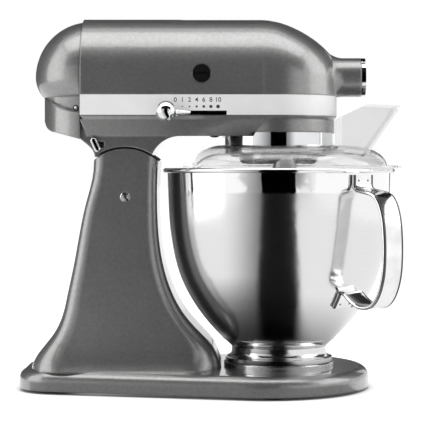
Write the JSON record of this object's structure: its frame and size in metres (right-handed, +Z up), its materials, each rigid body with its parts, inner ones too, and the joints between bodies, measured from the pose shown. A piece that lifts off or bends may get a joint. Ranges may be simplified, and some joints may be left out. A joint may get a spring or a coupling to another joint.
{
  "type": "stand mixer",
  "caption": "Tilt-head stand mixer with a round-ended motor head, steel bowl with strap handle, clear pouring shield and a side speed lever.",
  "frame": {"origin": "on the table, under the middle of the mixer's outline", "axes": "+X towards the attachment hub, +Z up, speed lever on the -Y side"},
  "size_m": [0.3665, 0.2317, 0.355],
  "materials": {
    "enamel": "dark silver metallic enamel, glossy",
    "silver": "satin",
    "chrome": "polished",
    "steel": "polished rim, brushed below",
    "clear": "clear moulded plastic",
    "rubber": "matte",
    "black_plastic": "satin",
    "casting": "blasted zinc casting",
    "machined": "machined",
    "bronze": "machined bronze",
    "copper": "lacquered copper",
    "carbon": "pressed carbon"
  },
  "bodies": {
    "root": {"pedestal": "enamel", "rubber_feet": "rubber", "hinge_pin": "chrome", "clamp_plate": "chrome", "clamp_screws": "machined"},
    "bowl": {"bowl": "steel", "bowl_foot": "steel", "handle": "steel"},
    "shield": {"shield": "clear", "chute": "clear"},
    "head": {"upper_housing": "enamel", "lower_housing": "enamel", "trim_band": "silver", "rear_cover": "enamel", "stator": "machined", "field_windings": "copper", "bearings": "machined", "brush_holders": "black_plastic", "carbon_brushes": "carbon", "brush_springs": "machined", "brush_caps": "black_plastic", "ring_gear": "machined", "drip_ring": "chrome", "hub_ears": "enamel", "cover_pin": "machined"},
    "rotor": {"motor_shaft": "machined", "armature": "machined", "commutator": "copper", "cooling_fan": "black_plastic", "worm": "machined"},
    "reduction": {"worm_wheel": "bronze", "pinion_shaft": "machined"},
    "planetary": {"centre_shaft": "machined", "centre_gear": "machined", "bevel_gear": "machined", "planetary": "casting"},
    "agitator": {"agitator_shaft": "machined", "planet_pinion": "machined", "cross_pin": "machined"},
    "attachment_drive": {"attachment_drive": "machined", "bevel_pinion": "machined"},
    "hub_cover": {"hub_cover": "chrome"},
    "attachment_knob": {"attachment_knob": "black_plastic"},
    "speed_lever": {"speed_lever": "chrome", "governor_link": "black_plastic"},
    "lock_lever": {"lock_lever": "chrome"}
  },
  "joints": [
    {"name": "head_tilt", "type": "hinge", "parent": "root", "child": "head", "pos_m": [-0.081, 0, 0.184], "axis": [0, -1, 0], "range_deg": [0, 45]},
    {"name": "bowl_twist", "type": "hinge", "parent": "root", "child": "bowl", "pos_m": [0.065, 0, 0.024], "axis": [0, 0, 1], "range_deg": [0, 42]},
    {"name": "shield_turn", "type": "hinge", "parent": "bowl", "child": "shield", "pos_m": [0.065, 0, 0.212], "axis": [0, 0, 1], "range_deg": [-15, 15]},
    {"name": "rotor_spin", "type": "hinge", "parent": "head", "child": "rotor", "pos_m": [0, 0, 0.3], "axis": [1, 0, 0], "continuous": true},
    {"name": "reduction_spin", "type": "hinge", "parent": "head", "child": "reduction", "pos_m": [0.01862, 0.02765, 0.3], "axis": [0, 0, 1], "continuous": true},
    {"name": "planetary_spin", "type": "hinge", "parent": "head", "child": "planetary", "pos_m": [0.065, 0, 0.262], "axis": [0, 0, 1], "continuous": true},
    {"name": "agitator_spin", "type": "hinge", "parent": "planetary", "child": "agitator", "pos_m": [0.06974, -0.02688, 0.2], "axis": [0, 0, 1], "continuous": true},
    {"name": "attachment_spin", "type": "hinge", "parent": "head", "child": "attachment_drive", "pos_m": [0.1, 0, 0.299], "axis": [1, 0, 0], "continuous": true},
    {"name": "hub_cover_flip", "type": "hinge", "parent": "head", "child": "hub_cover", "pos_m": [0.1465, 0, 0.3146], "axis": [0, -1, 0], "range_deg": [0, 100]},
    {"name": "attachment_knob_turn", "type": "hinge", "parent": "head", "child": "attachment_knob", "pos_m": [0.131, 0.025, 0.299], "axis": [0, 1, 0], "continuous": true},
    {"name": "speed_lever_slide", "type": "slide", "parent": "head", "child": "speed_lever", "axis": [1, 0, 0], "range_m": [0, 0.0396]},
    {"name": "lock_lever_slide", "type": "slide", "parent": "head", "child": "lock_lever", "axis": [1, 0, 0], "range_m": [0, 0.005]}
  ],
  "couplings": [
    {"joint": "reduction_spin", "follows": "rotor_spin", "ratio": 0.038462},
    {"joint": "planetary_spin", "follows": "rotor_spin", "ratio": -0.008242},
    {"joint": "agitator_spin", "follows": "rotor_spin", "ratio": 0.027473},
    {"joint": "attachment_spin", "follows": "rotor_spin", "ratio": -0.015216}
  ]
}
